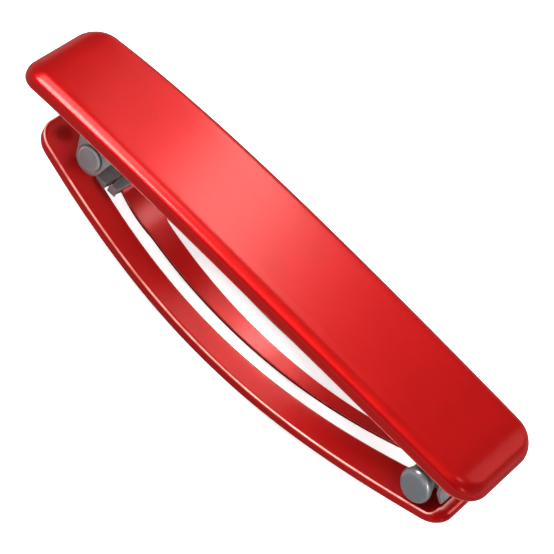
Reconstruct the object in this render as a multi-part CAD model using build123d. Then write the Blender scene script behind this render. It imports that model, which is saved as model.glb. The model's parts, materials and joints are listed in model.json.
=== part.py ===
"""Hinged hair barrette: cover, bowed frame, tension spring, hinge and two-button catch.

Millimetres. X runs along the barrette from the hinge end (-X) to the catch end (+X), Y across it,
and Z up. The origin is under the middle of the cover, at the height of the frame's lowest point.
"""
from build123d import *
from math import atan, cos, sin, radians, tan
import os

# ---- cover
LENGTH = 80.0
HALF_LENGTH = LENGTH / 2
HEIGHT = 16.7                 # lowest point of the frame to the top of the cover
# The two curves below are power series of x as a share of half the length.
COVER_TOP_TERMS = (16.69, -0.24, -0.77, 0.62, -0.4)
COVER_WIDTH_TERMS = (8.66, -0.04, -0.74, 0.32)
COVER_DEPTH = 2.3             # height of the cover's side
COVER_WALL = 0.8
COVER_EDGE = 1.1              # radius of the rolled top edge
# Corner radii seen from above: x sign, y sign, radius.
COVER_CORNERS = ((-1, -1, 3.0), (-1, 1, 4.6), (1, -1, 4.4), (1, 1, 3.8))
END_ROLL_RADIUS = 5.0
END_ROLL_ANGLE = 36.0

# ---- base bar inside the cover
BAR_HALF_WIDTH = 4.6
BAR_THICKNESS = 0.6
BAR_GAP = 0.06                # under the cover's sheet
BAR_START = -31.0
BAR_END = 36.2
BAR_CORNER = 1.5
STUD_RADIUS = 0.9
STUD_HEAD_RADIUS = 1.4
STUD_HEAD = 0.37
STUD_HEAD_EDGE = 0.2
STUD_PLACES = (-10.0, 14.0)

# ---- frame
FRAME_START = -33.4
FRAME_END = 38.6
FRAME_HALF_WIDTH = 8.5
FRAME_THICKNESS = 1.45
FRAME_CORNER = 2.6
FRAME_LOW = 1.47              # height of the frame's top face at mid length
FRAME_BOW = 11.47             # rise of the top face towards the ends
FRAME_TILT = -0.86
FRAME_EASE = -1.73
NOSE_RADIUS = 1.4             # the catch end's top edge rolls down over this radius
NOSE_START = 36.9
NOSE_ANGLE = 55.0
SLOT_START = -24.95
NOTCH_START = -25.8           # narrow end of the slot, where the knuckle's post passes
NOTCH_HALF_WIDTH = 2.25
SLOT_END = 36.0
SLOT_HALF_WIDTH = 4.5
SLOT_TAPER = -0.6
SLOT_CURVE = -2.0
SLOT_CORNER = 0.8

# ---- hinge
PIN_X = -26.3
PIN_Z = 9.75
PIN_RADIUS = 1.0
PIN_GAP = 0.02                # round the pin in the lugs
RUNNING_GAP = 0.05            # round the pin in the knuckle, and round each stem in its cheek
LUG_OUTER = 6.0               # distance from the centre line to a lug's outer face
SHEET = 0.9                   # thickness of the bracket sheet
LUG_ROUND = 2.2
LUG_DROP = 0.6                # the centre of a lug's round end lies this far below the pin
LUG_FLARE = 15.0              # each edge of a lug leans this far from upright
HEAD_RADIUS = 1.8
HEAD_HEIGHT = 0.35
HEAD_EDGE = 0.22
BARREL_RADIUS = 1.85
FOOT_HALF_WIDTH = 2.9
FOOT_START = -30.4
FOOT_THICKNESS = 0.8
POST_THICKNESS = 0.8
KNUCKLE_WALL_X = -27.6        # left face of the knuckle above its foot
KNUCKLE_CLEARANCE = 0.1       # between the post and the end of the notch
BARREL_GAP = 0.2              # between the barrel and each lug
SEAT_GAP = 0.01               # between plates that lie on each other
RIVET_RADIUS = 0.7
RIVET_HEAD_RADIUS = 1.15
RIVET_HEAD = 0.3
RIVET_GAP = 0.06              # under the head of a bracket's rivet
# Rivet places seen from above: x, y.
HINGE_RIVETS = ((-28.6, 0.0), (-24.0, 0.0))
CATCH_RIVETS = ((28.9, -2.2), (28.9, 2.2))
KNUCKLE_RIVETS = ((-29.2, -1.6), (-29.2, 1.6))

# ---- tension spring and its clamp
SPRING_THICKNESS = 0.5
SPRING_ROOT_TOP = 6.2
SPRING_ROOT_HALF_WIDTH = 2.9
SPRING_LEVEL_END = -21.4
SPRING_LOW = 0.5              # height of its top face at mid length
SPRING_BOW = 13.87
SPRING_TILT = -1.06
SPRING_LIFT = 0.018           # extra rise of the root, per square millimetre before SPRING_NECK
SPRING_NECK = -15.0
SPRING_HALF_WIDTH = 1.55      # at mid length
SPRING_TAPER = -0.87
SPRING_TIP = 30.0
SPRING_WAIST = 0.12           # hollow of each side between the root and the neck
CLAMP_THICKNESS = 0.5
CLAMP_LENGTH = 1.4
CLAMP_STARTS = (-24.65, -22.85)
CLAMP_HALF_WIDTHS = (4.5, 4.05)
CLAMP_CORNER = 0.25
ARM_THICKNESS = 0.8
ARM_HALF_WIDTH = 2.0
CLAMP_RIVET_RADIUS = 0.4
CLAMP_RIVET_HEAD_RADIUS = 0.62

# ---- catch
BUTTON_X = 32.95
BUTTON_Z = 10.85
CAP_RADIUS = 2.4
CAP_FACE = 8.9                # distance from the centre line to the cap's face
CAP_THICKNESS = 1.0
CAP_EDGE = 0.5                # radius round the cap's face
CAP_BACK_EDGE = 0.25
NECK_END = 6.9
NECK_TOP_RADIUS = 2.25        # where the neck meets the cap
STEM_RADIUS = 1.6
STEM_Z = 11.55
SPIGOT_RADIUS = 0.8           # the end of the stem that fills the cap's bore
SPIGOT_LENGTH = 1.2
SPIGOT_GAP = 0.02
CHEEK_OUTER = 4.6
COLLAR_RADIUS = 1.9
COLLAR_THICKNESS = 0.6
SPRING_SEAT_RADIUS = 0.95
SPRING_SEAT_END = 4.0
COIL_RADIUS = 0.7
COIL_WIRE = 0.2
COIL_TURNS = 8
LEG_OUTER = 2.15              # distance from the centre line to a leg's outer face
LEG_THICKNESS = 0.85
STEM_INNER = LEG_OUTER - LEG_THICKNESS
LEG_LENGTH_X = 2.6
NIB_REACH = 0.25
NIB_HEIGHT = 0.7
NIB_GAP = 0.15                # below the frame's underside
CHEEK_START = 30.4
CHEEK_BOTTOM = 9.2
CHEEK_LEAN = 0.4              # the cheek's left edge runs this far inwards on its way down
CATCH_WEB_START = 27.4
CATCH_SHEET = 0.7
TONGUE_X = 34.95              # left face of the tongue's upright part
TONGUE_SHEET = 0.6
TONGUE_HALF_WIDTH = 6.3
TONGUE_BEND = 10.9            # height where the tongue starts to flare
TONGUE_TIP_X = 36.9
TONGUE_GAP = 0.4
TONGUE_TIP_RISE = 0.5         # height of the tongue's slanted lower edge
TONGUE_TIP_LEAN = 0.1

# ---- shared
OVERLAP = 0.2                 # how far joined solids of one piece run into each other
BORE_LOW = 5.0
BORE_HIGH = HEIGHT + 2


def power_series(terms, share):
    return sum(term * share**power for power, term in enumerate(terms))


def cover_top(x):
    """Height of the main arch of the cover's top."""
    return power_series(COVER_TOP_TERMS, x / HALF_LENGTH)


def cover_half_width(x):
    return power_series(COVER_WIDTH_TERMS, x / HALF_LENGTH)


def frame_top(x):
    n = x / HALF_LENGTH
    return FRAME_LOW + FRAME_BOW * n**2 + FRAME_TILT * n + FRAME_EASE * n**4


def spring_top(x):
    n = x / HALF_LENGTH
    lift = SPRING_LIFT * max(0.0, SPRING_NECK - x) ** 2
    return SPRING_LOW + SPRING_BOW * n**2 + SPRING_TILT * n + lift


def bar_bottom(x):
    """Underside of the base bar, where the two brackets are riveted on."""
    return cover_top(x) - COVER_WALL - BAR_GAP - BAR_THICKNESS


def slot_half_width(x):
    n = x / HALF_LENGTH
    return SLOT_HALF_WIDTH + SLOT_TAPER * n + SLOT_CURVE * n**2


def stations(start, end, count):
    return [start + (end - start) * i / (count - 1) for i in range(count)]


def side_profile(lines):
    """Face in the XZ plane from edges given as (x, z) wires."""
    return Plane.XZ * make_face(lines)


def across(profile, half_width):
    """Extrude an XZ face across the centre line, from +Y to -Y."""
    return Pos(0, half_width, 0) * extrude(profile, amount=2 * half_width)


def curved_band(top, thickness, start, end, count):
    """XZ face of a strip whose top follows a height function."""
    xs = stations(start, end, count)
    upper = [(x, top(x)) for x in xs]
    lower = [(x, top(x) - thickness) for x in xs]
    return side_profile(
        Spline(*upper) + Line(upper[-1], lower[-1]) + Spline(*lower[::-1]) + Line(lower[0], upper[0])
    )


def y_cylinder(radius, y_from, y_to, x, z):
    length = y_to - y_from
    middle = (y_from + y_to) / 2
    return Pos(x, middle, z) * Rot(X=90) * Cylinder(radius, length)


def z_cylinder(radius, z_from, z_to, x, y=0.0):
    return Pos(x, y, (z_from + z_to) / 2) * Cylinder(radius, z_to - z_from)


def mirrored(shape):
    return mirror(shape, about=Plane.XZ)


def rivet(shank_radius, head_radius, low, high):
    """Upright rivet with a rounded head at each end of a stack of plates."""
    lower = z_cylinder(head_radius, low - RIVET_HEAD, low, 0)
    upper = z_cylinder(head_radius, high, high + RIVET_HEAD, 0)
    lower = fillet(lower.edges().group_by(Axis.Z)[0], RIVET_HEAD / 2)
    upper = fillet(upper.edges().group_by(Axis.Z)[-1], RIVET_HEAD / 2)
    return z_cylinder(shank_radius, low, high, 0) + lower + upper


def bore(radius, x, y=0.0):
    """Upright cutter through the base bar and the bracket sheets under it."""
    return z_cylinder(radius, BORE_LOW, BORE_HIGH, x, y)


def frame_slope(x):
    step = 0.01
    return (frame_top(x + step) - frame_top(x)) / step


def frame_place(x, y):
    """Location on the frame's top face, with Z along its normal."""
    slope = frame_slope(x)
    return Plane(origin=(x, y, frame_top(x)), x_dir=(1, 0, slope), z_dir=(-slope, 0, 1)).location


# ---------------------------------------------------------------- cover
def cover_plan(inset):
    """Barrel-sided outline of the cover seen from above."""
    half = HALF_LENGTH - inset
    xs = stations(-half, half, 9)
    front = [(x, inset - cover_half_width(x)) for x in xs]
    rear = [(x, -y) for x, y in front]
    plan = make_face(
        Spline(*front) + Line(front[-1], rear[-1]) + Spline(*rear[::-1]) + Line(rear[0], front[0])
    )
    for x_sign, y_sign, radius in COVER_CORNERS:
        corner = plan.vertices().sort_by(lambda v: x_sign * v.X + y_sign * v.Y)[-1]
        plan = fillet(corner, radius - inset)
    return plan


def cover_form(inset, bottom):
    """Outer or inner form of the cover: its plan under an arched top with rolled ends."""
    half = HALF_LENGTH - inset
    roll = END_ROLL_RADIUS - inset
    turn = radians(END_ROLL_ANGLE)
    start = half - roll * sin(turn)
    arch = [(x, cover_top(x) - inset) for x in stations(-start, start, 7)]
    catch_roll = []
    hinge_roll = []
    for share in (1 / 3, 2 / 3, 1):
        x = start + roll * sin(turn * share)
        fall = inset + roll * (1 - cos(turn * share))
        catch_roll.append((x, cover_top(x) - fall))
        hinge_roll.append((-x, cover_top(-x) - fall))
    skin = hinge_roll[::-1] + arch + catch_roll
    rim = [(x, bottom(x)) for x in stations(half, -half, 5)]
    profile = side_profile(
        Spline(*skin) + Line(skin[-1], rim[0]) + Spline(*rim) + Line(rim[-1], skin[0])
    )
    return extrude(cover_plan(inset), amount=2 * HEIGHT) & across(profile, HALF_LENGTH)


def make_top_cover():
    outer = cover_form(0, lambda x: cover_top(x) - COVER_DEPTH)
    outer = fillet(outer.edges().filter_by(is_top_edge), COVER_EDGE)
    return outer - cover_form(COVER_WALL, lambda x: cover_top(x) - 2 * COVER_DEPTH)


def is_top_edge(edge):
    """True for the edges between the cover's top and its upright sides."""
    middle = edge.position_at(0.5)
    above_rim = middle.Z > cover_top(middle.X) - COVER_DEPTH / 2 - END_ROLL_RADIUS / 8
    lies_flat = abs(edge.tangent_at(0.5).Z) < abs(edge.tangent_at(0.5).X) + abs(edge.tangent_at(0.5).Y)
    return above_rim and lies_flat


def make_base_bar():
    band = curved_band(lambda x: bar_bottom(x) + BAR_THICKNESS, BAR_THICKNESS, BAR_START, BAR_END, 9)
    bar = across(band, BAR_HALF_WIDTH)
    bar = fillet(bar.edges().filter_by(Axis.Z), BAR_CORNER)
    for x in STUD_PLACES:
        bar -= bore(STUD_RADIUS, x)
    for x, y in HINGE_RIVETS + CATCH_RIVETS:
        bar -= bore(RIVET_RADIUS, x, y)
    return bar


def make_studs():
    studs = []
    for x in STUD_PLACES:
        head_top = bar_bottom(x) - RIVET_GAP / 2
        shank = z_cylinder(STUD_RADIUS, head_top - OVERLAP, cover_top(x) - COVER_WALL - RIVET_GAP / 2, x)
        head = z_cylinder(STUD_HEAD_RADIUS, head_top - STUD_HEAD, head_top, x)
        head = fillet(head.edges().group_by(Axis.Z)[0], STUD_HEAD_EDGE)
        studs.append(shank + head)
    return Compound(studs)


def make_bracket_rivets(places, sheet):
    rivets = []
    for x, y in places:
        low = bar_bottom(x) - sheet - RIVET_GAP
        shank = z_cylinder(RIVET_RADIUS, low, bar_bottom(x) + BAR_THICKNESS - RIVET_GAP, x, y)
        head = z_cylinder(RIVET_HEAD_RADIUS, low - RIVET_HEAD, low, x, y)
        head = fillet(head.edges().group_by(Axis.Z)[0], RIVET_HEAD / 2)
        rivets.append(shank + head)
    return Compound(rivets)


# ---------------------------------------------------------------- hinge
def make_hinge_bracket():
    web_z = bar_bottom(PIN_X) - SHEET
    flare = radians(LUG_FLARE)
    round_z = PIN_Z - LUG_DROP
    top_z = web_z + OVERLAP
    touch_x = LUG_ROUND * cos(flare)
    touch_z = round_z - LUG_ROUND * sin(flare)
    top_half = LUG_ROUND / cos(flare) + (top_z - round_z) * tan(flare)
    outline = side_profile(
        ThreePointArc(
            (PIN_X - touch_x, touch_z),
            (PIN_X, round_z - LUG_ROUND),
            (PIN_X + touch_x, touch_z),
        )
        + Line((PIN_X + touch_x, touch_z), (PIN_X + top_half, top_z))
        + Line((PIN_X + top_half, top_z), (PIN_X - top_half, top_z))
        + Line((PIN_X - top_half, top_z), (PIN_X - touch_x, touch_z))
    )
    lugs = across(outline, LUG_OUTER) - across(outline, LUG_OUTER - SHEET)
    web = across(
        curved_band(bar_bottom, SHEET, PIN_X - top_half, PIN_X + top_half, 5),
        LUG_OUTER,
    )
    bracket = web + lugs
    bracket -= y_cylinder(PIN_RADIUS + PIN_GAP, -2 * LUG_OUTER, 2 * LUG_OUTER, PIN_X, PIN_Z)
    for x, y in HINGE_RIVETS:
        bracket -= bore(RIVET_RADIUS, x, y)
    return bracket


def make_hinge_pin():
    seat = LUG_OUTER + PIN_GAP / 2
    shank = y_cylinder(PIN_RADIUS, -seat - OVERLAP / 2, seat + OVERLAP / 2, PIN_X, PIN_Z)
    head = y_cylinder(HEAD_RADIUS, -LUG_OUTER - HEAD_HEIGHT, -seat, PIN_X, PIN_Z)
    head = fillet(head.edges().group_by(Axis.Y)[0], HEAD_EDGE)
    return shank + head + mirrored(head)


def make_hinge_knuckle():
    def on_frame(x):
        return frame_top(x) + SEAT_GAP

    foot_end = NOTCH_START
    arm_x = NOTCH_START + KNUCKLE_CLEARANCE
    arm_top = SPRING_ROOT_TOP - SPRING_THICKNESS
    arm_bottom = arm_top - ARM_THICKNESS
    post = arm_x + POST_THICKNESS
    left_wall = KNUCKLE_WALL_X
    foot = [(x, on_frame(x)) for x in stations(FOOT_START, foot_end, 4)]
    foot_profile = side_profile(
        Spline(*foot)
        + Polyline(
            foot[-1],
            (foot_end, PIN_Z),
            (left_wall, PIN_Z),
            (left_wall, on_frame(left_wall) + FOOT_THICKNESS),
            (FOOT_START, foot[0][1] + FOOT_THICKNESS),
            foot[0],
        )
    )
    arm_profile = side_profile(
        Polyline(
            (arm_x, arm_bottom),
            (SPRING_LEVEL_END, arm_bottom),
            (SPRING_LEVEL_END, arm_top),
            (post, arm_top),
            (post, PIN_Z),
            (left_wall, PIN_Z),
            (left_wall, foot[-1][1] + FOOT_THICKNESS),
            (arm_x, foot[-1][1] + FOOT_THICKNESS),
            close=True,
        )
    )
    knuckle = across(foot_profile, FOOT_HALF_WIDTH) + across(arm_profile, ARM_HALF_WIDTH)
    barrel_half = LUG_OUTER - SHEET - BARREL_GAP
    knuckle += y_cylinder(BARREL_RADIUS, -barrel_half, barrel_half, PIN_X, PIN_Z)
    knuckle -= y_cylinder(PIN_RADIUS + RUNNING_GAP, -LUG_OUTER, LUG_OUTER, PIN_X, PIN_Z)
    for x, y in KNUCKLE_RIVETS:
        knuckle -= frame_place(x, y) * Cylinder(RIVET_RADIUS, 4 * FOOT_THICKNESS)
    for x in clamp_middles():
        knuckle -= z_cylinder(CLAMP_RIVET_RADIUS, 0, arm_top + OVERLAP, x)
    return knuckle


def make_knuckle_rivets():
    low = -FRAME_THICKNESS - 2 * SEAT_GAP
    high = FOOT_THICKNESS + 8 * SEAT_GAP
    one = rivet(RIVET_RADIUS, RIVET_HEAD_RADIUS, low, high)
    return Compound([frame_place(x, y) * one for x, y in KNUCKLE_RIVETS])


# ---------------------------------------------------------------- frame
def make_lower_frame():
    plan = make_face(
        Polyline(
            (FRAME_START, -FRAME_HALF_WIDTH),
            (FRAME_END, -FRAME_HALF_WIDTH),
            (FRAME_END, FRAME_HALF_WIDTH),
            (FRAME_START, FRAME_HALF_WIDTH),
            close=True,
        )
    )
    plan = fillet(plan.vertices(), FRAME_CORNER)
    upper = [(x, frame_top(x)) for x in stations(FRAME_START, NOSE_START, 11)]
    lower = [(x, frame_top(x) - FRAME_THICKNESS) for x in stations(FRAME_END, FRAME_START, 11)]
    climb = atan(frame_slope(NOSE_START))
    centre_x = NOSE_START + NOSE_RADIUS * sin(climb)
    centre_z = frame_top(NOSE_START) - NOSE_RADIUS * cos(climb)
    turn = radians(NOSE_ANGLE)
    half_turn = (turn - climb) / 2
    nose_mid = (centre_x + NOSE_RADIUS * sin(half_turn), centre_z + NOSE_RADIUS * cos(half_turn))
    nose_end = (centre_x + NOSE_RADIUS * sin(turn), centre_z + NOSE_RADIUS * cos(turn))
    profile = side_profile(
        Spline(*upper)
        + ThreePointArc(upper[-1], nose_mid, nose_end)
        + Line(nose_end, lower[0])
        + Spline(*lower)
        + Line(lower[-1], upper[0])
    )
    plate = extrude(plan, amount=HEIGHT) & across(profile, FRAME_HALF_WIDTH + OVERLAP)
    return plate - extrude(slot_face(), amount=HEIGHT) - frame_holes()


def slot_face():
    xs = stations(SLOT_START, SLOT_END, 7)
    near = [(x, -slot_half_width(x)) for x in xs]
    far = [(x, slot_half_width(x)) for x in xs]
    face = make_face(
        Spline(*near) + Line(near[-1], far[-1]) + Spline(*far[::-1]) + Line(far[0], near[0])
    )
    face = fillet(face.vertices(), SLOT_CORNER)
    notch_length = SLOT_START - NOTCH_START + SLOT_CORNER + OVERLAP
    notch = Pos(NOTCH_START + notch_length / 2, 0) * Rectangle(notch_length, 2 * NOTCH_HALF_WIDTH)
    return face + notch


def frame_holes():
    depth = 3 * FRAME_THICKNESS
    return Compound([frame_place(x, y) * Cylinder(RIVET_RADIUS, depth) for x, y in KNUCKLE_RIVETS])


# ---------------------------------------------------------------- tension spring and clamp
def clamp_middles():
    return [start + CLAMP_LENGTH / 2 for start in CLAMP_STARTS]


def make_tension_spring():
    root = CLAMP_STARTS[0]
    xs = stations(SPRING_LEVEL_END, SPRING_TIP, 12)
    level = SPRING_ROOT_TOP
    upper = [(x, spring_top(x)) for x in xs]
    upper[0] = (SPRING_LEVEL_END, level)
    lower = [(x, z - SPRING_THICKNESS) for x, z in upper]
    profile = side_profile(
        Line((root, level), upper[0])
        + Spline(*upper)
        + Line(upper[-1], lower[-1])
        + Spline(*lower[::-1])
        + Line(lower[0], (root, level - SPRING_THICKNESS))
        + Line((root, level - SPRING_THICKNESS), (root, level))
    )
    neck = SPRING_HALF_WIDTH + SPRING_TAPER * SPRING_NECK / HALF_LENGTH
    tip = SPRING_HALF_WIDTH + SPRING_TAPER * SPRING_TIP / HALF_LENGTH
    shoulder = (SPRING_LEVEL_END, -SPRING_ROOT_HALF_WIDTH)
    waist_y = SPRING_WAIST - (SPRING_ROOT_HALF_WIDTH + neck) / 2
    near = (
        Line((root, -SPRING_ROOT_HALF_WIDTH), shoulder)
        + Spline(shoulder, ((SPRING_LEVEL_END + SPRING_NECK) / 2, waist_y), (SPRING_NECK, -neck))
        + Line((SPRING_NECK, -neck), (SPRING_TIP - tip, -tip))
    )
    plan = make_face(
        near
        + ThreePointArc((SPRING_TIP - tip, -tip), (SPRING_TIP, 0), (SPRING_TIP - tip, tip))
        + mirror(near, about=Plane.XZ)
        + Line((root, SPRING_ROOT_HALF_WIDTH), (root, -SPRING_ROOT_HALF_WIDTH))
    )
    leaf = extrude(plan, amount=HEIGHT, both=True) & across(profile, FRAME_HALF_WIDTH)
    for x in clamp_middles():
        leaf -= z_cylinder(CLAMP_RIVET_RADIUS, 0, HEIGHT, x)
    return leaf


def make_clamp_bar(start, half_width):
    middle = start + CLAMP_LENGTH / 2
    height = SPRING_ROOT_TOP + CLAMP_THICKNESS / 2 + SEAT_GAP
    bar = Pos(middle, 0, height) * Box(CLAMP_LENGTH, 2 * half_width, CLAMP_THICKNESS)
    bar = fillet(bar.edges().filter_by(Axis.Z), CLAMP_CORNER)
    return bar - z_cylinder(CLAMP_RIVET_RADIUS, 0, HEIGHT, middle)


def make_clamp_rivets():
    low = SPRING_ROOT_TOP - SPRING_THICKNESS - ARM_THICKNESS - SEAT_GAP
    high = SPRING_ROOT_TOP + CLAMP_THICKNESS + 2 * SEAT_GAP
    one = rivet(CLAMP_RIVET_RADIUS, CLAMP_RIVET_HEAD_RADIUS, low, high)
    return Compound([Pos(x, 0, 0) * one for x in clamp_middles()])


# ---------------------------------------------------------------- catch
def make_catch_bracket():
    web = across(
        curved_band(bar_bottom, CATCH_SHEET, CATCH_WEB_START, TONGUE_X + TONGUE_SHEET, 5),
        CHEEK_OUTER,
    )
    cheek_top = bar_bottom(BUTTON_X) - CATCH_SHEET + OVERLAP
    cheek_end = TONGUE_X + OVERLAP / 2
    cheek_profile = side_profile(
        Polyline(
            (CHEEK_START, cheek_top),
            (CHEEK_START + CHEEK_LEAN, CHEEK_BOTTOM),
            (cheek_end, CHEEK_BOTTOM),
            (cheek_end, cheek_top),
            close=True,
        )
    )
    cheeks = across(cheek_profile, CHEEK_OUTER) - across(cheek_profile, CHEEK_OUTER - SHEET)
    bracket = web + cheeks + make_tongue()
    bracket -= y_cylinder(STEM_RADIUS + RUNNING_GAP, -2 * CHEEK_OUTER, 2 * CHEEK_OUTER, BUTTON_X, STEM_Z)
    for x, y in CATCH_RIVETS:
        bracket -= bore(RIVET_RADIUS, x, y)
    return bracket


def make_tongue():
    """End wall of the catch that flares outwards over the frame's nose."""
    tip_z = frame_top(TONGUE_TIP_X) + TONGUE_GAP
    top = bar_bottom(TONGUE_X) - CATCH_SHEET / 2
    outer_x = TONGUE_X + TONGUE_SHEET
    inner_tip = (TONGUE_TIP_X, tip_z)
    outer_tip = (TONGUE_TIP_X + TONGUE_TIP_LEAN, tip_z + TONGUE_TIP_RISE)
    outer_bend = (outer_x, TONGUE_BEND + TONGUE_SHEET / 2)
    profile = side_profile(
        Line((TONGUE_X, top), (TONGUE_X, TONGUE_BEND))
        + Spline((TONGUE_X, TONGUE_BEND), inner_tip, tangents=((0, -1.2), (1, -0.35)))
        + Line(inner_tip, outer_tip)
        + Spline(outer_tip, outer_bend, tangents=((-1, 0.35), (0, 1.2)))
        + Line(outer_bend, (outer_x, top))
        + Line((outer_x, top), (TONGUE_X, top))
    )
    return across(profile, TONGUE_HALF_WIDTH)


def make_latch():
    """Front latch: plunger with a stop collar, a spring seat and a leg that ends in a nib."""
    stem = y_cylinder(STEM_RADIUS, -NECK_END, -STEM_INNER, BUTTON_X, STEM_Z)
    spigot = y_cylinder(SPIGOT_RADIUS, -NECK_END - SPIGOT_LENGTH, -NECK_END, BUTTON_X, STEM_Z)
    collar_face = CHEEK_OUTER - SHEET - 2 * RUNNING_GAP
    collar = y_cylinder(COLLAR_RADIUS, -collar_face, -collar_face + COLLAR_THICKNESS, BUTTON_X, STEM_Z)
    leg_start = BUTTON_X - LEG_LENGTH_X / 2
    leg_end = BUTTON_X + LEG_LENGTH_X / 2

    def nib_top(x):
        return frame_top(x) - FRAME_THICKNESS - NIB_GAP

    nib_bottom = curved_band(nib_top, NIB_HEIGHT, leg_start, leg_end, 3)
    nib = extrude(nib_bottom, amount=LEG_OUTER + NIB_REACH)
    leg_profile = side_profile(
        Polyline(
            (leg_start, STEM_Z),
            (leg_start, nib_top(leg_start) - NIB_HEIGHT),
            (leg_end, nib_top(leg_end) - NIB_HEIGHT),
            (leg_end, STEM_Z),
            close=True,
        )
    )
    leg = extrude(leg_profile, amount=LEG_OUTER)
    trim = Pos(BUTTON_X, 0, STEM_Z) * Box(2 * LEG_LENGTH_X, 2 * STEM_INNER, 2 * HEIGHT)
    latch = stem + spigot + collar + (leg + nib - trim)
    return latch - y_cylinder(SPRING_SEAT_RADIUS, -SPRING_SEAT_END, 0, BUTTON_X, STEM_Z)


def make_button_cap():
    """Front cap: rounded head on a neck that blends into the plunger's upper side."""
    back = CAP_FACE - CAP_THICKNESS
    head = y_cylinder(CAP_RADIUS, -CAP_FACE, -back, BUTTON_X, BUTTON_Z)
    head = fillet(head.edges().group_by(Axis.Y)[0], CAP_EDGE)
    head = fillet(head.edges().group_by(Axis.Y)[-1], CAP_BACK_EDGE)
    reach = back + OVERLAP / 2 - NECK_END
    sections = []
    for share in (0.0, 0.35, 0.7, 1.0):
        grow = share**2
        radius = STEM_RADIUS + (NECK_TOP_RADIUS - STEM_RADIUS) * grow
        height = STEM_Z + (BUTTON_Z - STEM_Z) * grow
        place = Plane(origin=(BUTTON_X, -NECK_END - share * reach, height), z_dir=(0, -1, 0))
        sections.append(place * Circle(radius))
    bore_end = NECK_END + SPIGOT_LENGTH + SPIGOT_GAP
    socket = y_cylinder(SPIGOT_RADIUS + SPIGOT_GAP, -bore_end, -NECK_END / 2, BUTTON_X, STEM_Z)
    return head + loft(sections) - socket


def make_button_spring():
    length = 2 * (SPRING_SEAT_END - RUNNING_GAP)
    coil = Helix(pitch=length / COIL_TURNS, height=length, radius=COIL_RADIUS)
    section = Plane(origin=coil @ 0, z_dir=coil % 0) * Circle(COIL_WIRE / 2)
    wire = sweep(section, path=coil)
    return Pos(BUTTON_X, length / 2, STEM_Z) * Rot(X=90) * wire


def main():
    latch = make_latch()
    cap = make_button_cap()
    nodes = {
        "top_cover": make_top_cover(),
        "base_bar": make_base_bar(),
        "base_bar_studs": make_studs(),
        "hinge_bracket": make_hinge_bracket(),
        "hinge_bracket_rivets": make_bracket_rivets(HINGE_RIVETS, SHEET),
        "hinge_pin": make_hinge_pin(),
        "catch_bracket": make_catch_bracket(),
        "catch_bracket_rivets": make_bracket_rivets(CATCH_RIVETS, CATCH_SHEET),
        "button_spring": make_button_spring(),
        "lower_frame": make_lower_frame(),
        "hinge_knuckle": make_hinge_knuckle(),
        "knuckle_rivets": make_knuckle_rivets(),
        "tension_spring": make_tension_spring(),
        "clamp_bar_inner": make_clamp_bar(CLAMP_STARTS[0], CLAMP_HALF_WIDTHS[0]),
        "clamp_bar_outer": make_clamp_bar(CLAMP_STARTS[1], CLAMP_HALF_WIDTHS[1]),
        "clamp_rivets": make_clamp_rivets(),
        "front_latch": latch,
        "front_button_cap": cap,
        "rear_latch": mirrored(latch),
        "rear_button_cap": mirrored(cap),
    }
    os.makedirs("parts", exist_ok=True)
    for name, shape in nodes.items():
        export_step(shape, f"parts/{name}.step")


main()
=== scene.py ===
"""Looks of the hinged hair barrette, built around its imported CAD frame.

Shapes are worked out in millimetres on the frame's own axes: X from the hinge to the catch, Y to the rear
and Z up. Each TERMS tuple is a power series in x / HALF_LENGTH.
"""

import json
import math

import bpy
from mathutils import Matrix, Vector


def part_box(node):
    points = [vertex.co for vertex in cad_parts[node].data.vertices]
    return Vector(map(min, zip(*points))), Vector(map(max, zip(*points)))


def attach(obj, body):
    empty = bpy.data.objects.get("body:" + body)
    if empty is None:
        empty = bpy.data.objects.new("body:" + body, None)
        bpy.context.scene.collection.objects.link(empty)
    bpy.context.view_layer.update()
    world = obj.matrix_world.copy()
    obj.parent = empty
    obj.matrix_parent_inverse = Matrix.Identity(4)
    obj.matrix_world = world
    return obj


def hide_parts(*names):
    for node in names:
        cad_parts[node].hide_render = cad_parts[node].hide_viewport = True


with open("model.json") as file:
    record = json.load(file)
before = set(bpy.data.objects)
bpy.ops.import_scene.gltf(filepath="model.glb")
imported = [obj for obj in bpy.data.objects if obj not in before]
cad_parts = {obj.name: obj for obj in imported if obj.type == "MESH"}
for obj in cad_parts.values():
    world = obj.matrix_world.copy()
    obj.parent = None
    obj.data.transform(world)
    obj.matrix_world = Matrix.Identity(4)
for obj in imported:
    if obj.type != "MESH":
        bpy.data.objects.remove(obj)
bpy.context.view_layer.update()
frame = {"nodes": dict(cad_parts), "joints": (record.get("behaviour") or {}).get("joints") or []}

MM = 0.001


def box_mm(node):
    low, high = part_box(node)
    return low / MM, high / MM


# ---------------------------------------------------------------- numbers of the design
HALF_LENGTH = box_mm("top_cover")[1].x
COVER_TOP_TERMS = (16.69, -0.24, -0.77, 0.62, -0.4)
COVER_WIDTH_TERMS = (8.66, -0.04, -0.74, 0.32)
COVER_DEPTH = 2.3
COVER_WALL = 0.8
COVER_BEAD = 0.24
# Radius of each corner seen from above, by the signs of its x and y.
COVER_CORNERS = {(-1, -1): 3.0, (-1, 1): 3.9, (1, -1): 4.4, (1, 1): 3.8}
# The rolled top edge, front and rear: how far it reaches across the top and down the side.
COVER_EDGE_ACROSS = (2.3, 1.3)
COVER_EDGE_DOWN = (1.2, 0.95)
# The corner between wall and top on the inside, as (inset, fall) pairs.
COVER_INNER_CORNER = ((1.3, 0.0), (1.05, 0.06), (0.87, 0.22), (COVER_WALL, 0.5))
# The top rolls down towards each end: where that starts and its radius, at the hinge and at the catch.
HINGE_ROLL_START, HINGE_ROLL_RADIUS = 37.0, 14.0
CATCH_ROLL_START, CATCH_ROLL_RADIUS = 35.3, 13.0

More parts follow.
